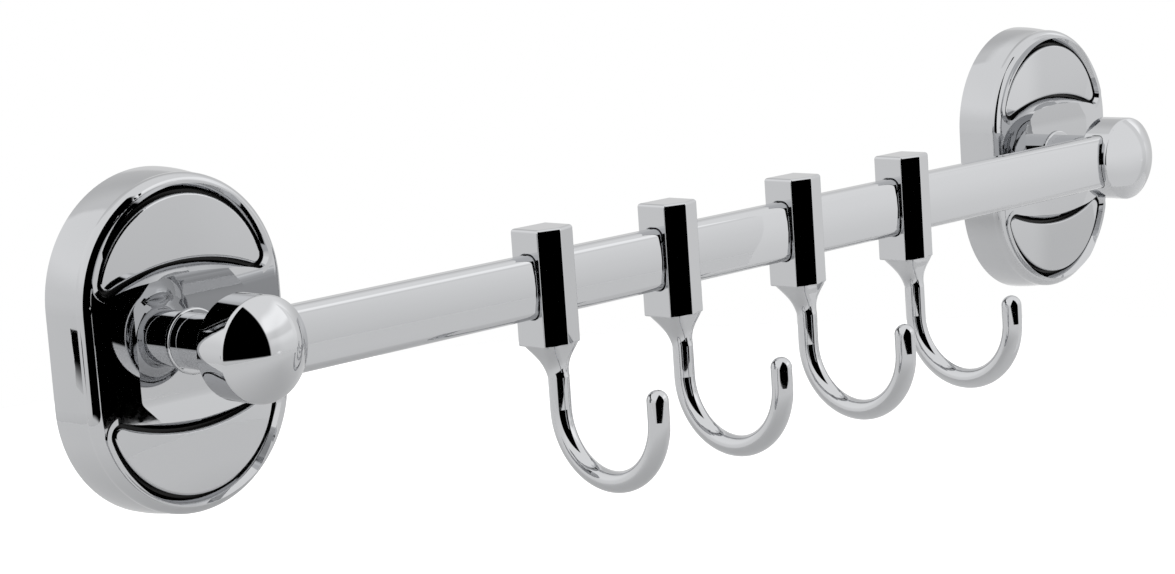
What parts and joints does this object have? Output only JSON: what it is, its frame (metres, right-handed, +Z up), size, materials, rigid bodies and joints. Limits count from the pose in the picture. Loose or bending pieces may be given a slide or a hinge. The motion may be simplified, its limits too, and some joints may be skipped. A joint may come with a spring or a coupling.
{
  "type": "hook rail",
  "caption": "Chrome wall-mounted hook rail: a flat rounded rail between two domed posts on grooved oval plates, with J-shaped hooks that slide along it.",
  "frame": {"origin": "on the wall plane, midway between the two brackets and level with the middle of their plates", "axes": "+X along the rail from the left bracket to the right one, +Y into the wall, +Z up"},
  "size_m": [0.421, 0.0797, 0.0967],
  "materials": {
    "chrome_casting": "polished",
    "chrome_turned": "polished",
    "chrome_tube": "polished",
    "chrome_hook": "polished",
    "zinc_steel": "satin",
    "screw_steel": "satin"
  },
  "bodies": {
    "rail_set": {"rail": "chrome_tube", "left_escutcheon": "chrome_casting", "left_collar": "chrome_turned", "left_post": "chrome_turned", "left_wall_strip": "zinc_steel", "left_post_screw": "screw_steel", "left_spring_washer": "screw_steel", "left_clamp_screw": "screw_steel", "left_rail_screw": "screw_steel", "right_escutcheon": "chrome_casting", "right_collar": "chrome_turned", "right_post": "chrome_turned", "right_wall_strip": "zinc_steel", "right_post_screw": "screw_steel", "right_spring_washer": "screw_steel", "right_clamp_screw": "screw_steel", "right_rail_screw": "screw_steel"},
    "hook_1_body": {"hook_1": "chrome_hook"},
    "hook_2_body": {"hook_2": "chrome_hook"},
    "hook_3_body": {"hook_3": "chrome_hook"},
    "hook_4_body": {"hook_4": "chrome_hook"}
  },
  "joints": [
    {"name": "hook_1_slide", "type": "slide", "parent": "rail_set", "child": "hook_1_body", "axis": [1, 0, 0], "range_m": [-0.0783, 0.01725]},
    {"name": "hook_2_slide", "type": "slide", "parent": "rail_set", "child": "hook_2_body", "axis": [1, 0, 0], "range_m": [-0.01725, 0.0195]},
    {"name": "hook_3_slide", "type": "slide", "parent": "rail_set", "child": "hook_3_body", "axis": [1, 0, 0], "range_m": [-0.0195, 0.018]},
    {"name": "hook_4_slide", "type": "slide", "parent": "rail_set", "child": "hook_4_body", "axis": [1, 0, 0], "range_m": [-0.018, 0.0893]}
  ]
}
